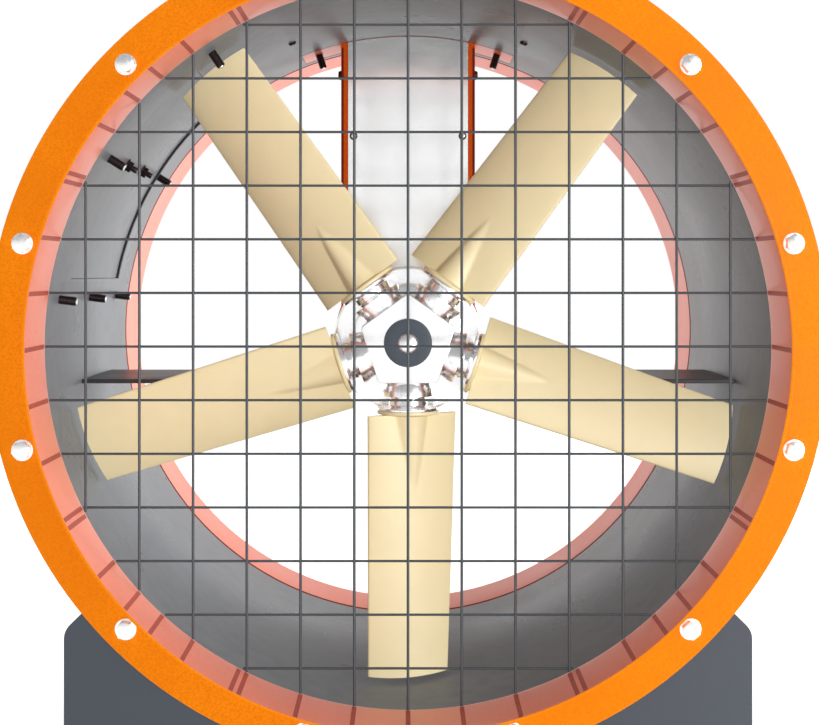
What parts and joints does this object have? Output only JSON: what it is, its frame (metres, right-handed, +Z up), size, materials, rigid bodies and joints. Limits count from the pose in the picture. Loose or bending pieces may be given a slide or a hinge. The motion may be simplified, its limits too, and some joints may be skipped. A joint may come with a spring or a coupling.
{
  "type": "axial extractor fan",
  "caption": "Belt driven axial extractor fan for a round duct, with adjustable blades behind a mesh guard, a cradle base and a motor on top.",
  "frame": {"origin": "on the floor under the middle of the fan, midway between the two open collar edges", "axes": "+Z up; +Y along the fan axis with the air, from the inlet guard to the outlet; +X to the right seen from the inlet"},
  "size_m": [0.73, 0.5, 0.9823],
  "materials": {
    "orange_paint": "orange powder coat with a fine texture",
    "casing_grey": "grey semi-gloss coat",
    "slate_paint": "slate powder coat with a fine texture",
    "guard_wire": "slate coated wire",
    "zinc_steel": "bright zinc plated",
    "black_rubber": "matte",
    "blade_nylon": "cream moulded nylon",
    "polished_aluminium": "turned and polished",
    "dark_steel": "dark coated steel",
    "cast_iron": "machined grey",
    "bright_steel": "ground steel",
    "panel_sheet": "bright steel sheet",
    "motor_paint": "blue grey machine paint",
    "black_plastic": "satin black"
  },
  "bodies": {
    "casing": {"casing_tube": "casing_grey", "casing_flange_front": "casing_grey", "casing_flange_rear": "casing_grey", "inlet_flange_ring": "orange_paint", "outlet_flange_ring": "orange_paint", "inlet_guard": "guard_wire", "flange_bolt_01": "zinc_steel", "flange_bolt_02": "zinc_steel", "flange_bolt_03": "zinc_steel", "flange_bolt_04": "zinc_steel", "flange_bolt_05": "zinc_steel", "flange_bolt_06": "zinc_steel", "flange_bolt_07": "zinc_steel", "flange_bolt_08": "zinc_steel", "flange_bolt_09": "zinc_steel", "flange_bolt_10": "zinc_steel", "flange_bolt_11": "zinc_steel", "flange_bolt_12": "zinc_steel", "cradle_front": "slate_paint", "cradle_rear": "slate_paint", "base_rail_left": "slate_paint", "base_rail_right": "slate_paint", "rubber_foot_1": "black_rubber", "rubber_foot_2": "black_rubber", "rubber_foot_3": "black_rubber", "rubber_foot_4": "black_rubber", "access_cover": "casing_grey", "access_gasket": "black_rubber", "access_handle": "black_plastic", "bearing_plate": "dark_steel", "pillow_block_front": "cast_iron", "pillow_block_rear": "cast_iron", "v_belt_front": "black_rubber", "v_belt_rear": "black_rubber", "belt_housing": "orange_paint", "belt_housing_panel": "panel_sheet", "motor_stand": "orange_paint"},
    "impeller": {"fan_shaft": "bright_steel", "hub_front_half": "polished_aluminium", "hub_rear_half": "polished_aluminium", "hub_washer": "dark_steel", "hub_bolt": "zinc_steel", "driven_pulley": "cast_iron"},
    "motor_base": {"motor_plate": "slate_paint", "motor_frame": "motor_paint", "motor_drive_shield": "motor_paint", "motor_fan_cowl": "motor_paint", "terminal_box": "motor_paint"},
    "rotor": {"drive_pulley": "cast_iron", "motor_rotor": "bright_steel"},
    "blade_1": {"blade_1": "blade_nylon", "blade_foot_1": "polished_aluminium"},
    "blade_2": {"blade_2": "blade_nylon", "blade_foot_2": "polished_aluminium"},
    "blade_3": {"blade_3": "blade_nylon", "blade_foot_3": "polished_aluminium"},
    "blade_4": {"blade_4": "blade_nylon", "blade_foot_4": "polished_aluminium"},
    "blade_5": {"blade_5": "blade_nylon", "blade_foot_5": "polished_aluminium"}
  },
  "joints": [
    {"name": "impeller_spin", "type": "hinge", "parent": "casing", "child": "impeller", "pos_m": [0, 0, 0.4], "axis": [0, 1, 0], "continuous": true},
    {"name": "blade_pitch_1", "type": "hinge", "parent": "impeller", "child": "blade_1", "pos_m": [0, -0.095, 0.4], "axis": [0.5878, 0, 0.809], "range_deg": [-12, 12]},
    {"name": "blade_pitch_2", "type": "hinge", "parent": "impeller", "child": "blade_2", "pos_m": [0, -0.095, 0.4], "axis": [-0.5878, 0, 0.809], "range_deg": [-12, 12]},
    {"name": "blade_pitch_3", "type": "hinge", "parent": "impeller", "child": "blade_3", "pos_m": [0, -0.095, 0.4], "axis": [-0.9511, 0, -0.309], "range_deg": [-12, 12]},
    {"name": "blade_pitch_4", "type": "hinge", "parent": "impeller", "child": "blade_4", "pos_m": [0, -0.095, 0.4], "axis": [0, 0, -1], "range_deg": [-12, 12]},
    {"name": "blade_pitch_5", "type": "hinge", "parent": "impeller", "child": "blade_5", "pos_m": [0, -0.095, 0.4], "axis": [0.9511, 0, -0.309], "range_deg": [-12, 12]},
    {"name": "motor_tension", "type": "slide", "parent": "casing", "child": "motor_base", "axis": [0, 0, 1], "range_m": [-0.012, 0.004], "deforming": ["v_belt_front", "v_belt_rear"]},
    {"name": "motor_spin", "type": "hinge", "parent": "motor_base", "child": "rotor", "pos_m": [0, 0, 0.85198], "axis": [0, 1, 0], "continuous": true}
  ],
  "couplings": [
    {"joint": "motor_spin", "follows": "impeller_spin", "ratio": 1.4032}
  ]
}
